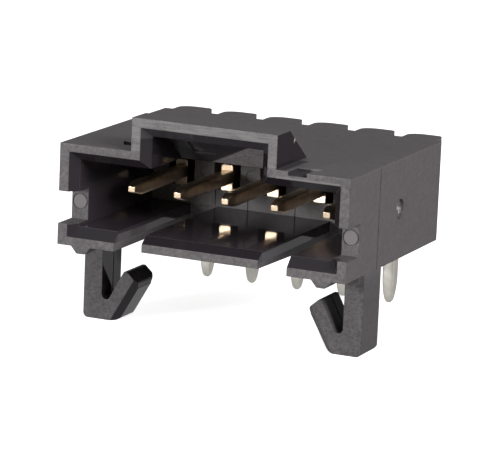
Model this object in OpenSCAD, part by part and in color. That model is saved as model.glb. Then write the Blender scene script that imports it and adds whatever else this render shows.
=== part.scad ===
// Right-angle shrouded board header: one moulded housing with board hooks, five square contacts.
// Millimetres. The origin is on the board, in the middle of the row of solder tails.
// +X runs along the row, the mating mouth faces -Y, +Z leads away from the board.
//
// Every module draws in housing coordinates: y = 0 is the mouth's front face and z = 0 the
// housing's underside. on_board() moves the finished piece onto the board.

/* [Contacts] */
// Distance from one contact to the next
pitch = 2.54; // [2.5:0.01:2.6]
// Side of the square wire
wire = 0.64; // [0.5:0.01:0.66]
// Height of the posts above the underside
post_z = 2.54; // [2.45:0.01:2.65]
// Depth of a post's tip behind the front face
post_tip_y = 2.82; // [2:0.01:4]
// Height of the shoulder that seats in the back wall
shoulder_h = 1.33; // [1:0.01:1.4]
// Depth of a shoulder's front face behind the front face
shoulder_y = 8.5; // [8.2:0.01:9]
// Depth of the solder tails behind the front face
tail_y = 12.15; // [12.1:0.01:12.4]
// Length of the solder tails below the underside
tail_l = 3.62; // [3:0.01:4.2]

/* [Housing] */
// From an end contact to the side face
end_margin = 2.54; // [2.5:0.01:2.8]
// Height of the housing from its underside to its roof
body_h = 5.03; // [5:0.01:5.4]
// Depth of the housing without its rear ribs
body_d = 11.74; // [11.6:0.01:11.76]
// Depth of the mating cavity
cavity_d = 8.7; // [8.5:0.01:9]
// Thickness of the side walls
wall = 0.9; // [0.8:0.01:1]
// Thickness of the floor
floor_t = 0.92; // [0.8:0.01:1]
// Thickness of the roof
roof_t = 0.83; // [0.7:0.01:0.9]
// Height of the stand-offs under the housing
standoff_h = 0.35; // [0.2:0.01:0.6]

/* [Mouth] */
// Depth of the lead-in bevel round the mouth
lead_in = 0.475; // [0.3:0.005:0.6]
// Width of the side walls' front faces
side_lip = 0.48; // [0.3:0.01:0.6]
// Height of the roof's front face
roof_lip = 0.385; // [0.3:0.005:0.6]
// Height of the floor's front face
floor_lip = 0.4; // [0.3:0.005:0.6]

/* [Keyway] */
// Outer width of the raised keyway
key_w = 7.62; // [7:0.01:8]
// Height of the raised keyway above the roof
key_rise = 1.66; // [1:0.01:2]
// Depth of the keyway's flat top
key_flat = 1.5; // [1.2:0.01:1.8]
// Depth at which the keyway's rear slope meets the roof
key_d = 3.65; // [3.5:0.01:3.9]
// Width of the keyway's front rim
key_lip = 0.45; // [0.3:0.01:0.6]
// Depth at which the sloping ceiling inside meets the cavity's ceiling
key_inner_d = 3.85; // [3.75:0.01:4]

/* [Rear ribs] */
// Width of one rib
rib_w = 1.74; // [1.6:0.01:1.8]
// Depth of the ribs behind the housing
rib_d = 1.28; // [1.2:0.01:1.4]

/* [Board hooks] */
// Depth of the hooks' front sides behind the front face
hook_y = 2.31; // [2.1:0.01:2.6]
// Thickness of the hooks, front to back
hook_t = 2.09; // [1.8:0.01:2.2]
// Inset of the left hook from its side face
left_hook_inset = 0.37; // [0.3:0.01:0.6]

/* [Hidden] */
ways = 5;
$fn = 48;
eps = 0.01;                       // how far a cutter passes the face it opens
body_w = (ways - 1) * pitch + 2 * end_margin;
half_w = body_w / 2;
inner_half_w = half_w - wall;
ceiling_z = body_h - roof_t;
key_half_w = key_w / 2;
key_wall = wall;
key_top = body_h + key_rise;
key_fall = key_rise / (key_d - key_flat);    // steepness of the keyway's slope, outside and in

// Slots that part the floor into three tongues
slot_w = 1.49;
slot_x = 3.82;
middle_lift = 0.15;               // the middle tongue's underside rises this much to the mouth
middle_lift_d = 5.5;

// Notch in each side wall at the mouth, with an ejector pin's ring on its back face
notch_d = 1.45;
notch_z = [1.05, 2.65];
notch_ring_d = 0.82;
notch_ring_w = 0.05;
notch_ring_z = 1.93;

// Pocket in the back wall round each contact's shoulder
pocket_x = [-0.8, 0.65];          // from the contact's middle
pocket_z = [1.8, 3.25];
shoulder_end = 10;                // the shoulder's rear face, seated on the pocket's end

// Marks of the mould
mark_depth = 0.04;
parting_y = 3.75;
parting_w = 0.1;
gate_y = 6.5;
gate_z = 2.5;
gate_d = 1;

// Right-hand hook in front view, x from its outer face and z from the underside
hook_leg_w = 0.98;
hook_end_z = -4.06;
hook_bevel = 0.33;
hook_arm_foot = [-2.04, -3.7];
hook_arm_top = [-2.81, -2.34];
hook_parting_y = 1.15;            // from the hook's front side

// A point on a circle or, with two radii, on an ellipse
function arc(centre, rx, ry, from, to, steps) =
    [for (i = [0 : steps]) let (a = from + (to - from) * i / steps)
        [centre.x + rx * cos(a), centre.y + ry * sin(a)]];

function contact_x(i) = (i - (ways + 1) / 2) * pitch;

module on_board() translate([0, -tail_y, standoff_h]) children();

// A side view with y along the page and z up it, made w wide about x = 0
module across(w) rotate([90, 0, 90]) linear_extrude(w, center = true) children();

// A front view with x along the page and z up it, from y0 to y1
module front_view(y0, y1) translate([0, y1, 0]) rotate([90, 0, 0]) linear_extrude(y1 - y0) children();

// A box given by its lowest and highest corners
module box(low, high) translate(low) cube(high - low);

module both_sides() { children(); mirror([1, 0, 0]) children(); }

// ---- Housing ----

module keyway_side() polygon([
    [0, body_h - 1], [0, key_top], [key_flat, key_top], [key_d, body_h], [key_d, body_h - 1]]);

// Bevelled mouth and straight cavity in one: the two profiles' common volume has mitred corners
module cavity() intersection() {
    linear_extrude(body_h) polygon([
        [-half_w + side_lip, 0], [-inner_half_w, lead_in], [-inner_half_w, cavity_d],
        [inner_half_w, cavity_d], [inner_half_w, lead_in], [half_w - side_lip, 0],
        [half_w - side_lip, -eps], [-half_w + side_lip, -eps]]);
    across(body_w) polygon([
        [-eps, floor_lip], [0, floor_lip], [lead_in, floor_t], [cavity_d, floor_t],
        [cavity_d, ceiling_z], [lead_in, ceiling_z], [0, body_h - roof_lip], [-eps, body_h - roof_lip]]);
}

module keyway_channel() intersection() {
    half = key_half_w - key_wall;
    mouth = key_half_w - key_lip;
    top = key_top - key_wall;
    slope_top_d = key_inner_d - (top - ceiling_z) / key_fall;
    translate([0, 0, post_z]) linear_extrude(key_top) polygon([
        [-mouth, -eps], [-mouth, 0], [-half, lead_in], [-half, key_inner_d],
        [half, key_inner_d], [half, lead_in], [mouth, 0], [mouth, -eps]]);
    across(body_w) polygon([
        [-eps, post_z], [-eps, key_top - key_lip], [0, key_top - key_lip], [lead_in, top],
        [slope_top_d, top], [key_inner_d, ceiling_z], [key_inner_d, post_z]]);
}

// Shallow sink in the keyway's sloping ceiling, left by the mould's core
module keyway_sink() {
    top_z = 5.35;
    low_z = 4.75;
    depth = 0.14;
    slope_y = key_inner_d - (top_z - ceiling_z) / key_fall;
    slope_low_y = key_inner_d - (low_z - ceiling_z) / key_fall;
    translate([-1.35, 0, 0]) across(1.2) polygon([
        [slope_y - depth, top_z], [slope_y + depth, top_z],
        [slope_low_y + depth, low_z], [slope_low_y - depth, low_z]]);
}

module floor_slots() both_sides()
    box([slot_x - slot_w / 2, -eps, -eps], [slot_x + slot_w / 2, cavity_d, floor_t + eps]);

module middle_tongue_relief() across(2 * slot_x) polygon([
    [-eps, -eps], [-eps, middle_lift], [0, middle_lift], [middle_lift_d, 0], [middle_lift_d, -eps]]);

// The middle tongue's front face keeps its height, so its bevel starts higher up
module middle_tongue_lip() difference() {
    box([-slot_x + slot_w / 2, 0, floor_lip - eps], [slot_x - slot_w / 2, lead_in, floor_t]);
    across(body_w) polygon([
        [-eps, floor_lip + middle_lift], [0, floor_lip + middle_lift], [lead_in, floor_t],
        [lead_in + eps, floor_t + eps], [-eps, floor_t + eps]]);
}

module side_notches() both_sides()
    box([inner_half_w - 0.1, -eps, notch_z[0]], [half_w + eps, notch_d, notch_z[1]]);

module notch_rings() both_sides()
    translate([half_w - wall / 2, notch_d + mark_depth, notch_ring_z]) rotate([90, 0, 0])
        linear_extrude(2 * mark_depth) difference() {
            circle(d = notch_ring_d);
            circle(d = notch_ring_d - 2 * notch_ring_w);
        }

// Nick in the roof's front edge, and a dent beside the keyway that rises to the front
module roof_nicks() {
    box([4.42, -eps, body_h - 0.2], [5.38, 1.15, body_h + eps]);
    translate([0, 2.25, body_h - 0.1]) rotate([-5.4, 0, 0]) linear_extrude(0.5)
        polygon([[-5.3, 0], [-key_half_w, 0], [-key_half_w, -1.2], [-4.8, -1.05]]);
}

// Round rear left corner of a rib is wide and the right one is tight, seen from above
module rib_plan() {
    wide = [0.84, 0.575];
    tight = 0.29;
    root = 0.3;
    polygon(concat(
        [[-rib_w / 2, -root]],
        arc([-rib_w / 2 + wide.x, rib_d - wide.y], wide.x, wide.y, 180, 90, 12),
        arc([rib_w / 2 - tight, rib_d - tight], tight, tight, 90, 0, 6),
        [[rib_w / 2, -root]]));
}

module rear_ribs() for (i = [0 : ways])
    translate([(i - ways / 2) * pitch, body_d, 0]) linear_extrude(body_h) rib_plan();

module standoff() {
    top_w = 1.05;
    flat_w = 0.35;
    front_view(0, 2) polygon(concat(
        [[-top_w / 2, 0.1], [-top_w / 2, 0]],
        arc([-flat_w / 2, -standoff_h + 0.1], 0.1, 0.1, 215, 270, 4),
        arc([flat_w / 2, -standoff_h + 0.1], 0.1, 0.1, 270, 325, 4),
        [[top_w / 2, 0], [top_w / 2, 0.1]]));
}

// A pair under the mouth and a pair under the rear block
module standoffs() for (x = [-1, 1], y = [0, body_d - 2.6])
    translate([x * 2.5 * pitch, y, 0]) standoff();

// Leg and arm as one block; hook_gap() parts them
module hook_outline() polygon(concat(
    [[0, 0.5]],
    arc([-0.26, hook_end_z + 0.26], 0.26, 0.26, 0, -90, 6),
    arc([-1.6, hook_end_z + 0.4], 0.4, 0.4, -90, -150, 5),
    [hook_arm_top],
    arc([-2.56, -2.1], 0.28, 0.28, 205, 140, 5),
    [[-2.33, -1.52], [-2, -1.52], [-1.5, -2.5], [-hook_leg_w - 0.1, -2.5], [-hook_leg_w - 0.1, 0.5]]));

// Gap with a round end between the leg and the arm
module hook_gap(grow = 0) polygon(concat(
    [[-hook_leg_w - 0.6, 0], [-2.2 - 0.88 * grow, -1.44 - 0.47 * grow]],
    arc([-1.22, -2.81], 0.22 + grow, 0.22 + grow, 210, 345, 9),
    [[-hook_leg_w + grow, -2.8], [-hook_leg_w + grow, 0]]));

// Bevel along the arm's outer edge, on its front and on its back side
module hook_bevels() {
    arm = hook_arm_top - hook_arm_foot;
    side = hook_bevel * sqrt(2);
    for (y = [0, hook_t])
        translate([hook_arm_foot.x, y, hook_arm_foot.y]) rotate([0, -atan2(arm.y, arm.x), 0])
            rotate([45, 0, 0]) cube([6, side, side], center = true);
}

// J-shaped hook that snaps behind the board, with a fine parting line round its gap
module hook() translate([half_w, hook_y, 0]) difference() {
    front_view(0, hook_t) hook_outline();
    front_view(-eps, hook_t + eps) hook_gap();
    front_view(hook_parting_y, hook_parting_y + parting_w) hook_gap(grow = mark_depth);
    hook_bevels();
    // The leg's lower rear corner is cut back
    translate([0, hook_t, hook_end_z]) rotate([45, 0, 0]) cube([9, 0.26, 0.26], center = true);
}

module hooks() {
    hook();
    translate([left_hook_inset, 0, 0]) mirror([1, 0, 0]) hook();
}

// Pocket for the shoulder, then a passage that the wire fills, eased where the wire bends down
module contact_passage() {
    half = wire / 2;
    box([pocket_x[0], cavity_d - eps, pocket_z[0]], [pocket_x[1], shoulder_end, pocket_z[1]]);
    box([-half, 0, post_z - half], [half, body_d + eps, post_z + half]);
    box([-half, body_d - 0.3, post_z - half - 0.1], [half, body_d + eps, post_z]);
}

module back_wall_marks() {
    for (i = [0 : ways - 2])
        translate([(i - (ways - 2) / 2) * pitch, cavity_d + mark_depth, post_z + 0.11]) rotate([90, 0, 0])
            cylinder(h = 2 * mark_depth, d = 0.6);
    for (x = [-3.24, -1.44, 1.15])
        box([x, cavity_d - eps, floor_t], [x + parting_w, cavity_d + mark_depth, pocket_z[0]]);
}

module parting_line() both_sides()
    box([half_w - 0.03, parting_y, -eps], [half_w + eps, parting_y + parting_w, body_h + eps]);

// Sunk round gate with the broken end of its runner inside
module gate() translate([half_w, gate_y, gate_z]) rotate([0, 90, 0]) difference() {
    cylinder(h = 0.3, d = gate_d, center = true);
    translate([0, 0, -0.2]) cylinder(h = 0.16, d1 = 0.62, d2 = 0.4);
}

module housing() color([0.13, 0.13, 0.14]) on_board() difference() {
    union() {
        difference() {
            union() {
                box([-half_w, 0, 0], [half_w, body_d, body_h]);
                across(key_w) keyway_side();
                rear_ribs();
            }
            cavity();
            keyway_channel();
            keyway_sink();
        }
        middle_tongue_lip();
        hooks();
        standoffs();
    }
    middle_tongue_relief();
    floor_slots();
    side_notches();
    notch_rings();
    roof_nicks();
    back_wall_marks();
    parting_line();
    gate();
    for (i = [1 : ways]) translate([contact_x(i), 0, 0]) contact_passage();
}

// ---- Contacts ----

// Side view of the wire: post, shoulder, bend and tail
module contact_side() {
    half = wire / 2;
    bend_in = 0.2;                  // inner radius of the bend
    bend_out = bend_in + wire;
    bend = [tail_y - half - bend_in, post_z - half - bend_in];
    polygon(concat(
        [[post_tip_y, post_z - half], [post_tip_y, post_z + half],
         [shoulder_y, post_z + half], [shoulder_y, post_z - 0.055 + shoulder_h / 2],
         [shoulder_end, post_z - 0.055 + shoulder_h / 2], [shoulder_end, post_z + half]],
        arc(bend, bend_out, bend_out, 90, 0, 12),
        [[tail_y + half, -tail_l], [tail_y - half, -tail_l]],
        arc(bend, bend_in, bend_in, 0, 90, 8),
        [[shoulder_end, post_z - half], [shoulder_end, post_z - 0.055 - shoulder_h / 2],
         [shoulder_y, post_z - 0.055 - shoulder_h / 2], [shoulder_y, post_z - half]]));
}

// End of the wire along the page's x, l long: a flat tip that swells to full width
module tapered_end(l, tip, taper, bulge) {
    steps = 6;
    upper = [for (i = [0 : steps]) let (t = i / steps)
        [taper * t, (wire - (wire - tip) * pow(1 - t, bulge)) / 2]];
    lower = [for (i = [steps : -1 : 0]) [upper[i].x, -upper[i].y]];
    polygon(concat(upper, [[l, wire / 2], [l, -wire / 2]], lower));
}

// From above, and from the side for its first part only
module post_end() translate([0, post_tip_y, 0]) intersection() {
    bulge = 1.5;
    translate([0, 0, -tail_l - 1]) linear_extrude(20) rotate(90)
        tapered_end(body_d - post_tip_y, 0.35, 0.6, bulge);
    union() {
        translate([0, 0, post_z]) across(2) tapered_end(2, 0.27, 0.7, bulge);
        box([-1, 1, -tail_l], [1, body_d - post_tip_y, body_h]);
    }
}

// From the front, and from the side for its first part only
module tail_end() translate([0, 0, -tail_l]) intersection() {
    tip = 0.22;
    taper = 1.5;
    bulge = 2.3;
    front_view(body_d - eps, tail_y + 1) rotate(90) tapered_end(body_h + tail_l, tip, taper, bulge);
    translate([0, tail_y, 0]) across(2) rotate(90) union() {
        tapered_end(2, tip, taper, bulge);
        translate([taper, -1]) square([body_h + tail_l, 2]);
    }
}

module contact(i) color([0.85, 0.7, 0.38]) on_board() translate([contact_x(i), 0, 0]) intersection() {
    across(wire) contact_side();
    union() {
        post_end();
        tail_end();
    }
}

housing();
contact(1);  // contact_1
contact(2);  // contact_2
contact(3);  // contact_3
contact(4);  // contact_4
contact(5);  // contact_5
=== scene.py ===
"""Dresses the right-angle board header: moulded plastic, plated contacts, studio and camera.

Run as a script in Blender 4.5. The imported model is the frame: +X runs along the row of
contacts, the mating mouth faces -Y, and the origin is on the board in the middle of the tails.
"""
import math

import bpy
from mathutils import Matrix, Vector


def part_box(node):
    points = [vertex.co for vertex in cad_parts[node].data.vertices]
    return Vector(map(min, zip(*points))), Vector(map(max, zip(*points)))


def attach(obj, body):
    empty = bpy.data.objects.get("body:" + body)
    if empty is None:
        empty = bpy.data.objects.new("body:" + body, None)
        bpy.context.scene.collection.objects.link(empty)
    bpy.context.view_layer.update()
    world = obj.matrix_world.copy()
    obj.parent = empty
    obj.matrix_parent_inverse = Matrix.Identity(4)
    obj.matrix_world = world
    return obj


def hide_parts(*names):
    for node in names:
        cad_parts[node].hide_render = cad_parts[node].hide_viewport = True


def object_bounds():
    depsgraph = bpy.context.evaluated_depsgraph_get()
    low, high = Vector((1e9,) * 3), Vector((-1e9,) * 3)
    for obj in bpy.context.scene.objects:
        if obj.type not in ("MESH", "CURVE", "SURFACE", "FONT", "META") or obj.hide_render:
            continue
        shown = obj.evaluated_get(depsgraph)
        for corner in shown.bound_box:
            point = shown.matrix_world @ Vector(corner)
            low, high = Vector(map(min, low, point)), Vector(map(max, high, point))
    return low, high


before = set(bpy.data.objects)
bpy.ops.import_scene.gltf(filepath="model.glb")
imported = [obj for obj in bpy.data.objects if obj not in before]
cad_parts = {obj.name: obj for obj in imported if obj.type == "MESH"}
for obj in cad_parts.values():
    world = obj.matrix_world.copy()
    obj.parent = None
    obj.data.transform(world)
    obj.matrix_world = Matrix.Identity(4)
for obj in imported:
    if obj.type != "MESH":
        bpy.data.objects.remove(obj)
CAD_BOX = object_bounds()

bl_info = {
    "name": "Board Header Finishes",
    "version": (1, 0, 0),
    "blender": (4, 5, 0),
    "location": "3D View > Sidebar > Board Header",
    "description": "Finishes, studio and camera for a right-angle shrouded board header",
    "category": "Object",
}

MM = 0.001
HOUSING_LOW, HOUSING_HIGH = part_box("housing")
MOUTH_Y = HOUSING_LOW.y                         # front face of the mouth
STANDOFF = 0.35 * MM                            # the underside is this far off the board

# Places on the housing in mm, measured as at() measures them
HALF_WIDTH = HOUSING_HIGH.x / MM                # side faces
KEY_TOP = (HOUSING_HIGH.z - STANDOFF) / MM      # flat top of the raised keyway
ROOF = KEY_TOP - 1.66                           # top of the roof
WALL = 0.9                                      # thickness of the side walls
CAVITY_HALF = HALF_WIDTH - WALL                 # inner faces of the side walls
CEILING = ROOF - 0.83                           # the cavity's ceiling
BACK_WALL = 8.7                                 # the cavity's back wall, which holds the contacts
BEVEL_END = 0.5                                 # just behind the bevel round the mouth
MOUTH_HALF = HALF_WIDTH - 0.48                  # that bevel's outer edges at the sides
MOUTH_TOP = ROOF - 0.385                        # its outer edge under the roof
FLOOR_LIP = 0.4                                 # its outer edge on the floor
KEY_OUTER = 3.81                                # outer faces of the keyway's side walls
KEY_INNER = KEY_OUTER - WALL                    # their inner faces
KEY_LIP_HALF = KEY_OUTER - 0.45                 # the keyway's bevel, its outer edges at the sides
KEY_LIP_TOP = KEY_TOP - 0.45                    # and at the top
EJECTOR = (7.17, 1.45, 1.93)                    # ejector pin's mark in the right-hand notch
GATE = (7.5, 6.55, 2.45)                        # the gate's broken stub
POST = 2.54                                     # middle of the posts
SKIN = 0.02                                     # margin by which a zone takes in or leaves out a face
HAIR = 0.01                                     # the same margin where two zones come close

CONTACTS = [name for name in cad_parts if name.startswith("contact_")]
# Posts that are bent a little, and how far their tips stand off to the right in mm
LEANS = {"contact_2": -0.06, "contact_3": -0.05, "contact_4": 0.04, "contact_5": 0.23}


def at(x, y, z):
    """A place given in mm from the middle of the mouth's front face at the housing's underside"""
    return Vector((x * MM, MOUTH_Y + y * MM, STANDOFF + z * MM))


# ---- Settings ----

def colour_setting(name, description, default):
    """A colour that the panel shows"""
    return bpy.props.FloatVectorProperty(
        name=name, description=description, subtype="COLOR", size=3, min=0, max=1, default=default)


def length_setting(name, description, millimetres):
    """A length that the panel shows, with its default in mm"""
    return bpy.props.FloatProperty(
        name=name, description=description, subtype="DISTANCE", unit="LENGTH",
        default=millimetres * MM, precision=6)


def angle_setting(name, description, degrees):
    """An angle that the panel shows, with its default in degrees"""
    return bpy.props.FloatProperty(
        name=name, description=description, subtype="ANGLE", default=math.radians(degrees))


class PlasticSettings(bpy.types.PropertyGroup):
    """Colours and grain of the moulded housing"""
    textured: colour_setting("Textured", "Colour of the spark-eroded outer faces", (0.094, 0.085, 0.089))
    polished: colour_setting("Polished", "Colour of the smooth faces in and round the mouth",
                             (0.02, 0.0165, 0.02))
    # Rubbed is both rubbing and painted light: it makes faces that look forward paler, paints light on the
    # back wall, streaks the keyway's front, and paints highlights on the roof's brim and on edges
    rubbed_and_lit: colour_setting("Rubbed", "Colour of the rubbed faces, and of edges that face up or forward",
                           (0.20, 0.19, 0.19))
    # Shaded is painted shade: in the roof's hollows, along the keyway's foot, on the left of the keyway's
    # ceiling and on edges down the right-hand side; it also tones the keyway's top bevel
    shaded: colour_setting("Shaded", "Colour of the roof's hollows, and of edges down the right-hand side",
                           (0.03, 0.027, 0.03))
    # Torn also paints glints, on the keyway's burr and beside the roof's nick
    torn_and_glint: colour_setting("Torn", "Colour of the whitened scar in the gate", (0.55, 0.53, 0.5))
    grain: length_setting("Grain", "Size of one grain of the moulded texture", 0.13)
    edge_radius: length_setting("Edge Radius", "Rounding of the moulded edges", 0.05)


class PlatingSettings(bpy.types.PropertyGroup):
    """Colours of the contacts' plating"""
    gold: colour_setting("Gold", "Colour of the plated posts", (0.93, 0.73, 0.52))
    tin: colour_setting("Tin", "Colour of the solder tails", (0.83, 0.81, 0.73))
    gloss_radius: length_setting("Gloss Radius", "Rounding that the plating's shine shows on edges", 0.05)


class WireSettings(bpy.types.PropertyGroup):
    """Sizes of the contacts' drawn wire"""
    wire: length_setting("Wire", "Width and height of the square wire", 0.64)
    edge_radius: length_setting("Edge Radius", "Rounding of the wire's long edges", 0.1)
    bend_radius: length_setting("Bend Radius", "Radius of the bend, along the middle of the wire", 0.52)
    post_tip: length_setting("Post Tip", "Width of a post's tip", 0.35)
    post_tip_height: length_setting("Post Tip Height", "Height of a post's tip", 0.27)
    post_taper: length_setting("Post Taper", "Length of a post's tapered end", 0.65)
    tail_tip: length_setting("Tail Tip", "Width of a tail's tip", 0.17)
    tail_taper: length_setting("Tail Taper", "Length of a tail's rounded end", 1.5)
    shoulder_height: length_setting("Shoulder Height", "Height across a contact's two shoulders", 1.33)
    shoulder_start: length_setting("Shoulder Start", "From a post's tip to its shoulders", 5.68)
    shoulder_length: length_setting("Shoulder Length", "Length of the shoulders along the wire", 1.5)
    shoulder_drop: length_setting("Shoulder Drop", "From the wire's middle down to the shoulders'", 0.055)


class StudioSettings(bpy.types.PropertyGroup):
    """Camera and floor"""
    azimuth: angle_setting("Azimuth", "Camera's turn to the right of the mouth", 23.8)
    elevation: angle_setting("Elevation", "Camera's height above the horizon", 12.2)
    roll: angle_setting("Roll", "Camera's turn about its line of sight", 2.44)
    distance: length_setting("Distance", "From the camera to the plane through the aim point", 160.5)
    aim_across: length_setting("Aim Across", "Aim point to the right of the mouth's lower middle", 2.446)
    aim_up: length_setting("Aim Up", "Aim point above the mouth's lower middle", 1.545)
    lens: bpy.props.FloatProperty(
        name="Lens", description="Focal length on a 36 mm sensor", subtype="DISTANCE_CAMERA", unit="CAMERA",
        default=241.8)
    floor: colour_setting("Floor", "Colour of the floor", (0.9, 0.9, 0.9))


class HeaderSettings(bpy.types.PropertyGroup):
    """All settings of the dressed header"""
    plastic: bpy.props.PointerProperty(type=PlasticSettings)
    plating: bpy.props.PointerProperty(type=PlatingSettings)
    wire: bpy.props.PointerProperty(type=WireSettings)
    studio: bpy.props.PointerProperty(type=StudioSettings)


# ---- Node helpers ----

FLOAT, VECTOR, GEOMETRY = "NodeSocketFloat", "NodeSocketVector", "NodeSocketGeometry"


class Nodes:
    """Adds nodes to a tree and joins them, a call for each node"""

    def __init__(self, tree):
        self.tree = tree

    def add(self, kind, *inputs, out=0, **values):
        """Adds a node with inputs in order, and its properties or other inputs by name"""
        node = self.tree.nodes.new(kind)
        named = {key: value for key, value in values.items() if not hasattr(node, key)}
        for key, value in values.items():
            if key not in named:
                setattr(node, key, value)
        for index, value in enumerate(inputs):
            self.feed(node.inputs[index], value)
        for key, value in named.items():
            self.feed(node.inputs[key], value)
        return node.outputs[out] if out is not None else node

    def feed(self, socket, value):
        """Links another node's output to a socket, or gives it a plain value"""
        if isinstance(value, bpy.types.NodeSocket):
            self.tree.links.new(value, socket)
        elif value is not None:
            socket.default_value = value

    def math(self, operation, *inputs, clamp=False):
        """One step of arithmetic"""
        return self.add("ShaderNodeMath", *inputs, operation=operation, use_clamp=clamp)

    def vector(self, operation, *inputs, out=0):
        """One step of vector arithmetic, whose output 1 is a plain value such as a distance"""
        return self.add("ShaderNodeVectorMath", *inputs, operation=operation, out=out)

    def remap(self, value, low, high, to_low=0.0, to_high=1.0):
        """Slides from to_low to to_high as the value goes from low to high, and stays there past them"""
        return self.add("ShaderNodeMapRange", value, low, high, to_low, to_high)

    def mix(self, factor, first, second, blend="MIX"):
        """Colour that goes from the first to the second as the factor goes from 0 to 1"""
        node = self.tree.nodes.new("ShaderNodeMix")
        node.data_type = "RGBA"
        node.blend_type = blend
        for index, value in ((0, factor), (6, first), (7, second)):
            self.feed(node.inputs[index], value)
        return node.outputs[2]

    def group(self, tree, out=0, **values):
        """Places a node group with its inputs by name"""
        node = self.tree.nodes.new("ShaderNodeGroup")
        node.node_tree = tree
        for key, value in values.items():
            self.feed(node.inputs[key], value)
        return node.outputs[out] if out is not None else node


def rgba(colour, strength=1.0):
    """Colour with an alpha of 1, made darker or lighter by the strength"""
    return (*(strength * channel for channel in colour), 1.0)


def new_group(name, inputs, outputs):
    """A shader group with (name, socket type, default) inputs and (name, socket type) outputs"""
    tree = bpy.data.node_groups.new(name, "ShaderNodeTree")
    for label, kind, default in inputs:
        socket = tree.interface.new_socket(label, in_out="INPUT", socket_type=kind)
        socket.default_value = default
    for label, kind in outputs:
        tree.interface.new_socket(label, in_out="OUTPUT", socket_type=kind)
    source = tree.nodes.new("NodeGroupInput")
    sink = tree.nodes.new("NodeGroupOutput")
    return tree, Nodes(tree), source.outputs, sink.inputs


def new_material(name):
    """A material with a Principled surface, its nodes and the surface's inputs"""
    material = bpy.data.materials.new(name)
    material.use_nodes = True
    material.node_tree.nodes.clear()
    nodes = Nodes(material.node_tree)
    surface = nodes.add("ShaderNodeBsdfPrincipled", out=None)
    nodes.add("ShaderNodeOutputMaterial", surface.outputs[0], out=None)
    return material, nodes, surface.inputs


# ---- Effects as node groups ----

def edge_group():
    """Rounds the normal along sharp edges and says where an edge is"""
    tree, nodes, given, result = new_group(
        "Soft Edge", [("Radius", FLOAT, 0.05 * MM)], [("Mask", FLOAT), ("Normal", VECTOR)])
    rounded = nodes.add("ShaderNodeBevel", given["Radius"], samples=6)
    flat = nodes.add("ShaderNodeNewGeometry", out=1)
    turn = nodes.vector("DOT_PRODUCT", rounded, flat, out=1)
    nodes.feed(result["Mask"], nodes.remap(turn, 0.995, 0.8))
    nodes.feed(result["Normal"], rounded)
    return tree


def grain_group():
    """Fine speckle of a spark-eroded mould, as a value about 0.5 and a height"""
    tree, nodes, given, result = new_group(
        "Mould Grain", [("Position", VECTOR, (0, 0, 0)), ("Size", FLOAT, 0.1 * MM)],
        [("Speckle", FLOAT), ("Height", FLOAT)])
    scale = nodes.math("DIVIDE", 1.0, given["Size"])
    fine = nodes.add("ShaderNodeTexNoise", Vector=given["Position"], Scale=scale, Detail=2.0, Roughness=0.6)
    coarse_scale = nodes.math("MULTIPLY", scale, 0.35)
    coarse = nodes.add("ShaderNodeTexNoise", Vector=given["Position"], Scale=coarse_scale, Detail=1.0)
    both = nodes.math("ADD", nodes.math("MULTIPLY", fine, 0.7), nodes.math("MULTIPLY", coarse, 0.3))
    nodes.feed(result["Speckle"], nodes.remap(both, 0.3, 0.7))
    nodes.feed(result["Height"], fine)
    return tree


def box_group():
    """1 inside an upright box, 0 outside it, with a fade of Edge inside its faces"""
    tree, nodes, given, result = new_group(
        "Inside Box", [("Position", VECTOR, (0, 0, 0)), ("Low", VECTOR, (0, 0, 0)),
                       ("High", VECTOR, (1, 1, 1)), ("Edge", FLOAT, 0.0001 * MM)], [("Mask", FLOAT)])
    above = nodes.vector("SUBTRACT", given["Position"], given["Low"])
    below = nodes.vector("SUBTRACT", given["High"], given["Position"])
    least = nodes.vector("MINIMUM", above, below)
    x, y, z = nodes.add("ShaderNodeSeparateXYZ", least, out=None).outputs
    nearest = nodes.math("MINIMUM", nodes.math("MINIMUM", x, y), z)
    nodes.feed(result["Mask"], nodes.math("DIVIDE", nearest, given["Edge"], clamp=True))
    return tree


def ball_group():
    """1 inside a ball, fading to 0 over the Edge outside it"""
    tree, nodes, given, result = new_group(
        "Inside Ball", [("Position", VECTOR, (0, 0, 0)), ("Centre", VECTOR, (0, 0, 0)),
                        ("Radius", FLOAT, 1.0), ("Edge", FLOAT, 0.02 * MM)], [("Mask", FLOAT)])
    away = nodes.vector("DISTANCE", given["Position"], given["Centre"], out=1)
    outside = nodes.math("SUBTRACT", away, given["Radius"])
    faded = nodes.math("DIVIDE", outside, given["Edge"])
    nodes.feed(result["Mask"], nodes.math("SUBTRACT", 1.0, faded, clamp=True))
    return tree


# ---- Housing ----

class Zones:
    """Masks for places on the housing, which are given in mm as at() takes them"""

    def __init__(self, nodes):
        self.nodes = nodes
        self.box_tree = box_group()
        self.ball_tree = ball_group()
        self.place = nodes.add("ShaderNodeTexCoord", out=3)
        split = nodes.add("ShaderNodeSeparateXYZ", self.place, out=None)
        self.across, self.inwards, self.up = split.outputs
        # From -1 on a face that looks out of the mouth to 1 on one that looks to the rear
        normal = nodes.add("ShaderNodeNewGeometry", out=3)
        self.facing = nodes.add("ShaderNodeSeparateXYZ", normal, out=1)

    def box(self, low, high, fade=0.0001):
        """1 in the upright box between two corners, with a fade inside its faces"""
        return self.nodes.group(
            self.box_tree, Position=self.place, Low=at(*low), High=at(*high), Edge=fade * MM)

    def ball(self, centre, radius, fade=0.02):
        """1 in a ball, with a fade outside it"""
        return self.nodes.group(
            self.ball_tree, Position=self.place, Centre=at(*centre), Radius=radius * MM, Edge=fade * MM)

    def climb(self, low, high, to_low=0.0, to_high=1.0):
        """Slides from to_low to to_high between two heights in mm"""
        return self.nodes.remap(self.up, at(0, 0, low).z, at(0, 0, high).z, to_low, to_high)

    def noise(self, size, detail, place=None):
        """Clouds of about this size in mm"""
        return self.nodes.add(
            "ShaderNodeTexNoise", Vector=place or self.place, Scale=1 / (size * MM), Detail=detail)


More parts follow.
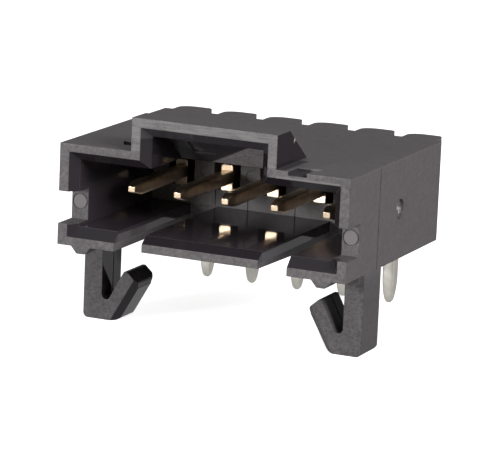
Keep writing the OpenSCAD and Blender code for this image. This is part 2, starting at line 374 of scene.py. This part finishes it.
def smooth_mask(nodes, zones):
    """1 on the faces that the mould leaves polished"""
    boxes = [
        # The bevels round the mouth and in the keyway, and the cavity up to its back wall
        ((-MOUTH_HALF, SKIN, FLOOR_LIP), (MOUTH_HALF, BEVEL_END, MOUTH_TOP)),
        ((-KEY_LIP_HALF, SKIN, 4.6), (KEY_LIP_HALF, BEVEL_END, KEY_LIP_TOP)),
        ((-CAVITY_HALF - HAIR, SKIN, FLOOR_LIP), (CAVITY_HALF + HAIR, BACK_WALL - SKIN, CEILING + HAIR)),
        # The inner and lower faces of the left hook and the right one
        ((-6.28, 2.33, -4.1), (-4.2, 4.5, -SKIN)),
        ((4.7, 2.66, -4.1), (6.66, 4.5, -SKIN)),
    ]
    for side in (-1, 1):
        outer = side * KEY_OUTER
        inner = side * KEY_INNER
        boxes.append(((outer - SKIN, SKIN, ROOF + SKIN), (outer + SKIN, 4, KEY_TOP - SKIN)))
        boxes.append(((inner - SKIN, SKIN, CEILING - 0.1), (inner + SKIN, 3.9, 5.8)))
    smooth = 0.0
    for low, high in boxes:
        smooth = nodes.math("MAXIMUM", smooth, zones.box(low, high))
    return smooth


def textured_colour(nodes, zones, settings, speckle):
    """The spark-eroded skin, with the most grain on faces that look forward, painted paler there as painted
    light, and darker on the hooks
    """
    forward = nodes.math("ABSOLUTE", zones.facing)
    contrast = nodes.remap(forward, 0, 1, 0.35, 1.4)
    depth = nodes.math("MULTIPLY", nodes.math("SUBTRACT", speckle, 0.5), contrast)
    dark = rgba(settings.textured, 0.45)
    light = rgba(settings.textured, 1.55)
    colour = nodes.mix(nodes.math("ADD", depth, 0.5), dark, light)
    # Faces that look forward or back are painted paler, as painted light
    colour = nodes.mix(nodes.math("MULTIPLY", forward, 0.28), colour, rgba(settings.rubbed_and_lit))
    return nodes.mix(zones.climb(0.1, -0.8, 0.0, 0.25), colour, rgba((0, 0, 0)))


def polished_colour(nodes, zones, settings):
    """The polished faces, which are less deep a black inside the cavity than round the mouth"""
    half = CAVITY_HALF + SKIN
    inside = zones.box((-half, 0.45, FLOOR_LIP), (half, BACK_WALL, CEILING))
    return nodes.mix(inside, rgba(settings.polished), rgba(settings.polished, 2.1))


def paint_keyway(nodes, zones, settings, colour, textured):
    """The keyway's sloping ceiling: a painted shadow on its left and painted light on its right, split along
    a slanted line
    """
    slope = zones.box((-2.95, 1.6, CEILING + HAIR), (2.95, 3.95, 5.75))
    slope = nodes.math("MULTIPLY", slope, nodes.remap(zones.facing, -0.1, -0.3))
    leaning = Vector((0.43, 0, -0.9))
    reach = nodes.vector("DOT_PRODUCT", zones.place, leaning, out=1)
    limit = at(-0.88, 0, 4.38).dot(leaning)
    pale = nodes.remap(reach, limit - 0.03 * MM, limit + 0.03 * MM)
    # A paler spot in the painted shadow, which takes in some of the painted light
    painted_lit_spot = zones.ball((-1.7, 3.02, 4.8), 0.18, fade=0.2)
    pale = nodes.math("MAXIMUM", pale, nodes.math("MULTIPLY", painted_lit_spot, 0.25))
    # The painted light is the skin at twice its brightness
    painted_lit_colour = nodes.mix(1.0, textured, rgba((2, 2, 2)), blend="MULTIPLY")
    colour = nodes.mix(slope, colour, nodes.mix(pale, rgba(settings.shaded), painted_lit_colour))
    lip = zones.box((-KEY_LIP_HALF, SKIN, 5.7), (KEY_LIP_HALF, BEVEL_END, KEY_LIP_TOP))
    return nodes.mix(lip, colour, rgba(settings.shaded, 1.5))


def roof_hollow_shade(nodes, zones):
    """Where painted shade goes: 1 in the roof's nick and dent, a painted shadow fading out from the keyway's
    foot, and 0 on the mouth's front face
    """
    shaded_hollows = 0.0
    behind = nodes.remap(zones.inwards, at(0, SKIN, 0).y, at(0, 2 * SKIN, 0).y)
    for low, high, fade in (((4.3, -0.2, 4.6), (5.5, 1.3, ROOF - HAIR), 0.03),
                            ((-5.45, 0.9, 4.6), (-3.7, 2.37, ROOF - HAIR), 0.03),
                            ((3, -1, 4.6), (4.45, 3.1, 5.4), 0.3)):
        hollow = nodes.math("MULTIPLY", zones.box(low, high, fade), behind)
        shaded_hollows = nodes.math("MAXIMUM", shaded_hollows, hollow)
    return nodes.math("MULTIPLY", shaded_hollows, zones.climb(ROOF + HAIR, ROOF + 3 * HAIR, 1.0, 0.0))


def paint_rubbing_and_light(nodes, zones, settings, colour):
    """The back wall in the cavity painted pale as painted light, streaks over the keyway's front, and a
    painted highlight on the brim under the roof
    """
    half = CAVITY_HALF + SKIN
    # The back wall is painted paler, as painted light
    back = zones.box((-half, BACK_WALL - 0.1, 0.93), (half, BACK_WALL + 0.1, CEILING + 0.1))
    colour = nodes.mix(nodes.math("MULTIPLY", back, 0.55), colour, rgba(settings.rubbed_and_lit))
    crown = zones.box((-3.9, -SKIN, 5.1), (3.9, SKIN, 6.8))
    stretched = nodes.vector("MULTIPLY", zones.place, Vector((0.12, 1, 1)))
    streaks = nodes.remap(zones.noise(0.12, 2.0, stretched), 0.35, 0.65, 0.1, 0.9)
    colour = nodes.mix(nodes.math("MULTIPLY", crown, streaks), colour, rgba(settings.rubbed_and_lit))
    # A painted highlight on the brim under the right-hand roof
    brim = zones.box((KEY_OUTER, -SKIN, 4.6), (7.1, SKIN, 4.73))
    return nodes.mix(nodes.math("MULTIPLY", brim, 0.8), colour, rgba(settings.rubbed_and_lit))


def paint_marks(nodes, zones, settings, colour):
    """Ejector pins leave a paler disc, the broken gate is whitened, and a painted glint sits on the keyway's
    burr
    """
    x, y, z = EJECTOR
    for side in (-1, 1):
        disc = zones.ball((side * x, y, z), 0.34)
        colour = nodes.mix(disc, colour, rgba(settings.textured, 2.1))
    gate = zones.ball(GATE, 0.12, fade=0.25)
    # A painted glint on the keyway's burr, in the torn colour
    burr_glint = zones.ball((KEY_OUTER, 2.05, 6.15), 0.03, fade=0.15)
    crumbs = nodes.remap(zones.noise(0.16, 2.0), 0.45, 0.6)
    scar_and_glint = nodes.math("MULTIPLY", nodes.math("MAXIMUM", gate, burr_glint), crumbs)
    return nodes.mix(scar_and_glint, colour, rgba(settings.torn_and_glint))


def paint_edges(nodes, zones, settings, colour, edge):
    """Edges get painted highlights where they face up or forward, and painted shade down the right-hand side,
    in patches
    """
    turn = nodes.add("ShaderNodeSeparateXYZ", edge["Normal"], out=0)
    # Painted highlight on edges that face up or forward, painted shade on those that face right
    edge_highlight_and_shade = nodes.mix(nodes.remap(turn, 0.2, 0.45), rgba(settings.rubbed_and_lit), rgba(settings.shaded))
    patches = nodes.remap(zones.noise(0.9, 3.0), 0.4, 0.65, 0.15, 0.8)
    return nodes.mix(nodes.math("MULTIPLY", patches, edge["Mask"]), colour, edge_highlight_and_shade)


def plastic_material(settings):
    """The one moulding's skin: textured outside, polished in the mouth, with the marks of its mould, and
    painted light and shade in places
    """
    material, nodes, surface = new_material("moulded plastic")
    zones = Zones(nodes)
    speckle, height = nodes.group(grain_group(), out=None, Position=zones.place, Size=settings.grain).outputs
    edge = nodes.group(edge_group(), out=None, Radius=settings.edge_radius).outputs
    smooth = smooth_mask(nodes, zones)
    shaded_hollows = roof_hollow_shade(nodes, zones)

    textured = textured_colour(nodes, zones, settings, speckle)
    colour = nodes.mix(smooth, textured, polished_colour(nodes, zones, settings))
    colour = paint_keyway(nodes, zones, settings, colour, textured)
    # Painted shade in the roof's nick and dent, and a painted shadow along the keyway's foot
    colour = nodes.mix(shaded_hollows, colour, rgba(settings.shaded))
    # A painted highlight on the roof beside the nick, in the torn colour
    nick_highlight = zones.ball((5.4, 1.1, 5), 0.1, fade=0.25)
    colour = nodes.mix(nodes.math("MULTIPLY", nick_highlight, 0.22), colour, rgba(settings.torn_and_glint))
    colour = paint_rubbing_and_light(nodes, zones, settings, colour)
    colour = paint_marks(nodes, zones, settings, colour)
    nodes.feed(surface["Base Color"], paint_edges(nodes, zones, settings, colour, edge))

    # The roof is smoother than the sides, and the right-hand tongue is duller than the rest of the mouth
    outside = zones.climb(4.9, 5, 0.55, 0.4)
    mouth = nodes.remap(zones.across, 4.4 * MM, 4.6 * MM, 0.06, 0.42)
    roughness = nodes.remap(smooth, 0, 1, outside, mouth)
    nodes.feed(surface["Roughness"], nodes.math("MAXIMUM", roughness, shaded_hollows))
    nodes.feed(surface["Specular IOR Level"], 0.35)

    # The grain stands up on the textured faces only
    strength = nodes.math("MULTIPLY", nodes.math("SUBTRACT", 1.0, smooth), 0.5)
    bumped = nodes.add("ShaderNodeBump", Strength=strength, Distance=0.012 * MM, Height=height,
                       Normal=edge["Normal"])
    # The hollows' floors lean to the front and right, so that they don't mirror the sky
    lean = nodes.vector("MULTIPLY", nodes.add("ShaderNodeCombineXYZ", shaded_hollows, shaded_hollows, 0.0),
                        Vector((0.6, -0.8, 0)))
    nodes.feed(surface["Normal"], nodes.vector("NORMALIZE", nodes.vector("ADD", bumped, lean)))
    return material


class HEADER_OT_finish_housing(bpy.types.Operator):
    """Give the moulded housing its textured and polished faces"""
    bl_idname = "header.finish_housing"
    bl_label = "Finish Housing"

    def execute(self, context):
        material = plastic_material(context.scene.header.plastic)
        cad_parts["housing"].material_slots[0].material = material
        return {"FINISHED"}


# ---- Contacts ----

def plating_material(settings):
    """Gold on the posts and tin on the tails, both a little clouded"""
    material, nodes, surface = new_material("plated wire")
    place = nodes.add("ShaderNodeTexCoord", out=3)
    up = nodes.add("ShaderNodeSeparateXYZ", place, out=2)
    tinned = nodes.remap(up, 1.0 * MM, 0.6 * MM)
    noise = nodes.add("ShaderNodeTexNoise", Vector=place, Scale=1 / (0.4 * MM), Detail=3.0)
    cloud = nodes.remap(noise, 0.35, 0.65)
    gold = nodes.mix(cloud, rgba(settings.gold), rgba(settings.gold, 0.85))
    tin = nodes.mix(cloud, rgba(settings.tin), rgba(settings.tin, 0.85))
    nodes.feed(surface["Base Color"], nodes.mix(tinned, gold, tin))
    nodes.feed(surface["Metallic"], 1.0)
    nodes.feed(surface["Roughness"], nodes.remap(tinned, 0, 1, 0.32, 0.42))
    rounded = nodes.add("ShaderNodeBevel", settings.gloss_radius, samples=6)
    bumped = nodes.add("ShaderNodeBump", Strength=0.2, Distance=0.01 * MM, Height=noise, Normal=rounded)
    nodes.feed(surface["Normal"], bumped)
    return material


def share_left(nodes, along, length):
    """1 at an end of the wire, falling to 0 at this length from it"""
    return nodes.math("SUBTRACT", 1.0, nodes.math("DIVIDE", along, length), clamp=True)


def drawn_end(nodes, along, length, tip, bulge=1.5):
    """Share of the full width at a distance from an end that is drawn to a bulged taper"""
    left = nodes.math("POWER", share_left(nodes, along, length), bulge)
    return nodes.math("SUBTRACT", 1.0, nodes.math("MULTIPLY", nodes.math("SUBTRACT", 1.0, tip), left))


def round_end(nodes, along, length, tip):
    """Share of the full width at a distance from an end shaped as half an ellipse"""
    left = nodes.math("POWER", share_left(nodes, along, length), 2.0)
    bow = nodes.math("SQRT", nodes.math("SUBTRACT", 1.0, left, clamp=True))
    return nodes.math("ADD", tip, nodes.math("MULTIPLY", nodes.math("SUBTRACT", 1.0, tip), bow))


def rounded_bar(nodes, path, width, height, edge_radius, scale=1.0):
    """Mesh of a bar with rounded long edges along a curve"""
    outline = nodes.add("GeometryNodeCurvePrimitiveQuadrilateral", width, height)
    outline = nodes.add("GeometryNodeFilletCurve", outline, 3, edge_radius, True, mode="POLY")
    return nodes.add("GeometryNodeCurveToMesh", path, outline, scale, True)


def point_on_path(nodes, given, length):
    """Place on the path at a length from the post's tip"""
    return nodes.add("GeometryNodeSampleCurve", given["Path"], Length=length, mode="LENGTH",
                     use_all_curves=False, out=1)


def bent_wire(nodes, given):
    """The wire round its bend, tapered at both ends"""
    wire = given["Wire"]
    path = nodes.add("GeometryNodeFilletCurve", given["Path"], 10, given["Bend Radius"], True, mode="POLY")
    path = nodes.add("GeometryNodeResampleCurve", path, Length=0.1 * MM, mode="LENGTH")
    path = nodes.add("GeometryNodeSetCurveNormal", path, mode="MINIMUM_TWIST")
    from_tip = nodes.add("GeometryNodeSplineParameter", out=1)
    from_tail = nodes.math("SUBTRACT", nodes.add("GeometryNodeSplineLength"), from_tip)
    post = drawn_end(nodes, from_tip, given["Post Taper"], nodes.math("DIVIDE", given["Post Tip"], wire))
    tail = round_end(nodes, from_tail, given["Tail Taper"], nodes.math("DIVIDE", given["Tail Tip"], wire))
    return rounded_bar(nodes, path, wire, wire, given["Edge Radius"], nodes.math("MULTIPLY", post, tail))


def lowered_tip(nodes, given, body):
    """The same wire with its post's tip lower than it is wide"""
    place = nodes.add("GeometryNodeInputPosition")
    from_tip = nodes.vector("SUBTRACT", place, point_on_path(nodes, given, 0.0))
    x, y, z = nodes.add("ShaderNodeSeparateXYZ", from_tip, out=None).outputs
    flat = nodes.math("DIVIDE", given["Post Tip Height"], given["Post Tip"])
    squeeze = drawn_end(nodes, y, given["Post Taper"], flat)
    shift = nodes.math("MULTIPLY", z, nodes.math("SUBTRACT", squeeze, 1.0))
    offset = nodes.add("ShaderNodeCombineXYZ", 0.0, 0.0, shift)
    return nodes.add("GeometryNodeSetPosition", body, Offset=offset)


def shoulder_bar(nodes, given):
    """The two shoulders, above and below the wire, as one upright bar through it"""
    drop = nodes.add("ShaderNodeCombineXYZ", 0.0, 0.0, nodes.math("MULTIPLY", given["Shoulder Drop"], -1.0))
    front = nodes.vector("ADD", point_on_path(nodes, given, given["Shoulder Start"]), drop)
    reach = nodes.add("ShaderNodeCombineXYZ", 0.0, given["Shoulder Length"], 0.0)
    axis = nodes.add("GeometryNodeCurvePrimitiveLine", front, nodes.vector("ADD", front, reach))
    return rounded_bar(nodes, axis, given["Wire"], given["Shoulder Height"], given["Edge Radius"])


def wire_tree(material):
    """Geometry Nodes that draw a bent wire with its shoulders along the curve they are given"""
    tree = bpy.data.node_groups.new("Drawn Wire", "GeometryNodeTree")
    tree.interface.new_socket("Path", in_out="INPUT", socket_type=GEOMETRY)
    for key in WireSettings.__annotations__:
        size = WireSettings.bl_rna.properties[key]
        socket = tree.interface.new_socket(size.name, in_out="INPUT", socket_type=FLOAT)
        socket.subtype = "DISTANCE"
        socket.default_value = size.default
    tree.interface.new_socket("Mesh", in_out="OUTPUT", socket_type=GEOMETRY)
    nodes = Nodes(tree)
    given = tree.nodes.new("NodeGroupInput").outputs
    body = lowered_tip(nodes, given, bent_wire(nodes, given))
    both = tree.nodes.new("GeometryNodeJoinGeometry")
    for mesh in (body, shoulder_bar(nodes, given)):
        tree.links.new(mesh, both.inputs[0])
    real = nodes.add("GeometryNodeRealizeInstances", both.outputs[0])
    done = nodes.add("GeometryNodeSetMaterial", real, Material=material)
    tree.links.new(done, tree.nodes.new("NodeGroupOutput").inputs[0])
    return tree


def wire_path(name, wire):
    """Curve along the middle of a contact: post tip, back wall, bend, tail tip"""
    low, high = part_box(name)
    middle = (low.x + high.x) / 2
    tip = middle + LEANS.get(name, 0) * MM
    post = at(0, BACK_WALL, POST)
    tail = high.y - wire / 2
    corners = [(tip, low.y, post.z), (middle, post.y, post.z), (middle, tail, post.z), (middle, tail, low.z)]
    curve = bpy.data.curves.new(name + "_path", "CURVE")
    curve.dimensions = "3D"
    spline = curve.splines.new("POLY")
    spline.points.add(len(corners) - 1)
    for point, corner in zip(spline.points, corners):
        point.co = (*corner, 1)
    path = bpy.data.objects.new(name + "_path", curve)
    bpy.context.scene.collection.objects.link(path)
    return path


def draw_wire(tree, name, settings):
    """One contact's wire, as a plain mesh in the place of its solid"""
    path = wire_path(name, settings.wire)
    modifier = path.modifiers.new("Drawn Wire", "NODES")
    modifier.node_group = tree
    for socket in tree.interface.items_tree:
        if socket.in_out == "INPUT" and socket.socket_type == FLOAT:
            modifier[socket.identifier] = getattr(settings, socket.name.lower().replace(" ", "_"))
    evaluated = path.evaluated_get(bpy.context.evaluated_depsgraph_get())
    mesh = bpy.data.meshes.new_from_object(evaluated)
    mesh.shade_smooth()
    mesh.set_sharp_from_angle(angle=math.radians(40))
    bpy.data.objects.remove(path)
    piece = bpy.data.objects.new(name + "_wire", mesh)
    bpy.context.scene.collection.objects.link(piece)
    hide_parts(name)
    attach(piece, "root")


class HEADER_OT_draw_contacts(bpy.types.Operator):
    """Draw the contacts' wire, gold plated on the posts and tinned on the tails"""
    bl_idname = "header.draw_contacts"
    bl_label = "Draw Contacts"

    def execute(self, context):
        settings = context.scene.header
        tree = wire_tree(plating_material(settings.plating))
        for name in CONTACTS:
            draw_wire(tree, name, settings.wire)
        return {"FINISHED"}


# ---- Studio ----

def away_from_aim(azimuth, elevation):
    """Direction from the aim point at a turn to the right of the mouth and a height above the horizon"""
    return Vector((math.sin(azimuth) * math.cos(elevation), -math.cos(azimuth) * math.cos(elevation),
                   math.sin(elevation)))


def stage_material(colour):
    """White paper to the camera, even light in gloss, and darker as a source of bounced light"""
    material = bpy.data.materials.new("studio paper")
    material.use_nodes = True
    material.node_tree.nodes.clear()
    nodes = Nodes(material.node_tree)
    bright = nodes.add("ShaderNodeBsdfDiffuse", rgba(colour))
    white = nodes.add("ShaderNodeAddShader", bright, nodes.add("ShaderNodeEmission", (1, 1, 1, 1), 0.85))
    dim = nodes.add("ShaderNodeBsdfDiffuse", rgba(colour, 0.45))
    sheen = nodes.add("ShaderNodeEmission", (1, 1, 1, 1), 0.48)
    path = nodes.add("ShaderNodeLightPath", out=None).outputs
    mirrored = nodes.math("MAXIMUM", path["Is Glossy Ray"], path["Is Transmission Ray"])
    unseen = nodes.add("ShaderNodeMixShader", mirrored, dim, sheen)
    shown = nodes.add("ShaderNodeMixShader", path["Is Camera Ray"], unseen, white)
    nodes.add("ShaderNodeOutputMaterial", shown, out=None)
    return material


def lay_floor(colour):
    """A wide sheet of paper at the lowest point of the hooks"""
    level = CAD_BOX[0].z
    reach = 400 * MM
    corners = [(-reach, -reach, level), (reach, -reach, level), (reach, reach, level), (-reach, reach, level)]
    mesh = bpy.data.meshes.new("studio_floor")
    mesh.from_pydata(corners, [], [(0, 1, 2, 3)])
    mesh.materials.append(stage_material(colour))
    floor = bpy.data.objects.new("studio_floor", mesh)
    bpy.context.scene.collection.objects.link(floor)


def light_sky():
    """A world that is white to the camera and otherwise dim at the horizon and brighter overhead"""
    world = bpy.data.worlds.new("studio")
    world.use_nodes = True
    world.node_tree.nodes.clear()
    nodes = Nodes(world.node_tree)
    path = nodes.add("ShaderNodeLightPath", out=None).outputs
    upward = nodes.add("ShaderNodeSeparateXYZ", nodes.add("ShaderNodeTexCoord"), out=2)
    sky = nodes.remap(upward, 0.2, 0.9, 0.12, 0.55)
    glow = nodes.add("ShaderNodeBackground", (1, 1, 1, 1), nodes.math("MAXIMUM", sky, path["Is Camera Ray"]))
    nodes.add("ShaderNodeOutputWorld", glow, out=None)
    return world


class HEADER_OT_set_stage(bpy.types.Operator):
    """Make the floor and the world"""
    bl_idname = "header.set_stage"
    bl_label = "Set Stage"

    def execute(self, context):
        lay_floor(context.scene.header.studio.floor)
        context.scene.world = light_sky()
        context.scene.view_settings.view_transform = "Standard"
        return {"FINISHED"}


def soft_lamp(name, azimuth, elevation, size, power, distance=140 * MM):
    """Square area lamp at a turn and height in degrees round the middle of the header, facing it"""
    away = away_from_aim(math.radians(azimuth), math.radians(elevation))
    data = bpy.data.lights.new(name, "AREA")
    data.size = size
    data.energy = power
    lamp = bpy.data.objects.new(name, data)
    lamp.location = (CAD_BOX[0] + CAD_BOX[1]) / 2 + away * distance
    lamp.rotation_mode = "QUATERNION"
    lamp.rotation_quaternion = away.to_track_quat("Z", "Y")
    bpy.context.scene.collection.objects.link(lamp)


class HEADER_OT_set_lamps(bpy.types.Operator):
    """Hang the soft lamps"""
    bl_idname = "header.set_lamps"
    bl_label = "Set Lamps"

    def execute(self, context):
        soft_lamp("front_lamp", azimuth=-25, elevation=9, size=26 * MM, power=0.095)
        soft_lamp("side_lamp", azimuth=65, elevation=28, size=60 * MM, power=0.17)
        return {"FINISHED"}


class HEADER_OT_set_camera(bpy.types.Operator):
    """Place the camera in front of the mouth, to its right and a little above"""
    bl_idname = "header.set_camera"
    bl_label = "Set Camera"

    def execute(self, context):
        settings = context.scene.header.studio
        away = away_from_aim(settings.azimuth, settings.elevation)
        level_right = Vector((math.cos(settings.azimuth), math.sin(settings.azimuth), 0))
        level_up = away.cross(level_right)
        right = level_right * math.cos(settings.roll) + level_up * math.sin(settings.roll)
        up = away.cross(right)
        data = bpy.data.cameras.new("camera")
        data.sensor_width = 36
        data.lens = settings.lens
        data.clip_start = 10 * MM
        data.clip_end = 2
        camera = bpy.data.objects.new("camera", data)
        turn = Matrix((right, up, away)).transposed().to_4x4()
        place = at(0, 0, 0) + right * settings.aim_across + up * settings.aim_up + away * settings.distance
        camera.matrix_world = Matrix.Translation(place) @ turn
        context.scene.collection.objects.link(camera)
        context.scene.camera = camera
        return {"FINISHED"}


# ---- Panel and registration ----

class HEADER_PT_panel(bpy.types.Panel):
    """Settings and steps of the dressed header"""
    bl_idname = "HEADER_PT_panel"
    bl_label = "Board Header"
    bl_space_type = "VIEW_3D"
    bl_region_type = "UI"
    bl_category = "Board Header"

    def draw(self, context):
        settings = context.scene.header
        for part in (settings.plastic, settings.plating, settings.wire, settings.studio):
            box = self.layout.box()
            for key in part.__annotations__:
                box.prop(part, key)
        for step in STEPS:
            self.layout.operator(step.bl_idname)


STEPS = (HEADER_OT_set_camera, HEADER_OT_finish_housing, HEADER_OT_draw_contacts,
         HEADER_OT_set_stage, HEADER_OT_set_lamps)
CLASSES = (PlasticSettings, PlatingSettings, WireSettings, StudioSettings, HeaderSettings,
           *STEPS, HEADER_PT_panel)


def register():
    """Make the settings, the steps and the panel known to Blender"""
    for cls in CLASSES:
        bpy.utils.register_class(cls)
    bpy.types.Scene.header = bpy.props.PointerProperty(type=HeaderSettings)


def unregister():
    """Take them away again"""
    del bpy.types.Scene.header
    for cls in reversed(CLASSES):
        bpy.utils.unregister_class(cls)


def main():
    """Dress the header"""
    register()
    bpy.ops.header.set_camera()
    bpy.ops.header.finish_housing()
    bpy.ops.header.draw_contacts()
    bpy.ops.header.set_stage()
    bpy.ops.header.set_lamps()


if __name__ == "__main__":
    main()
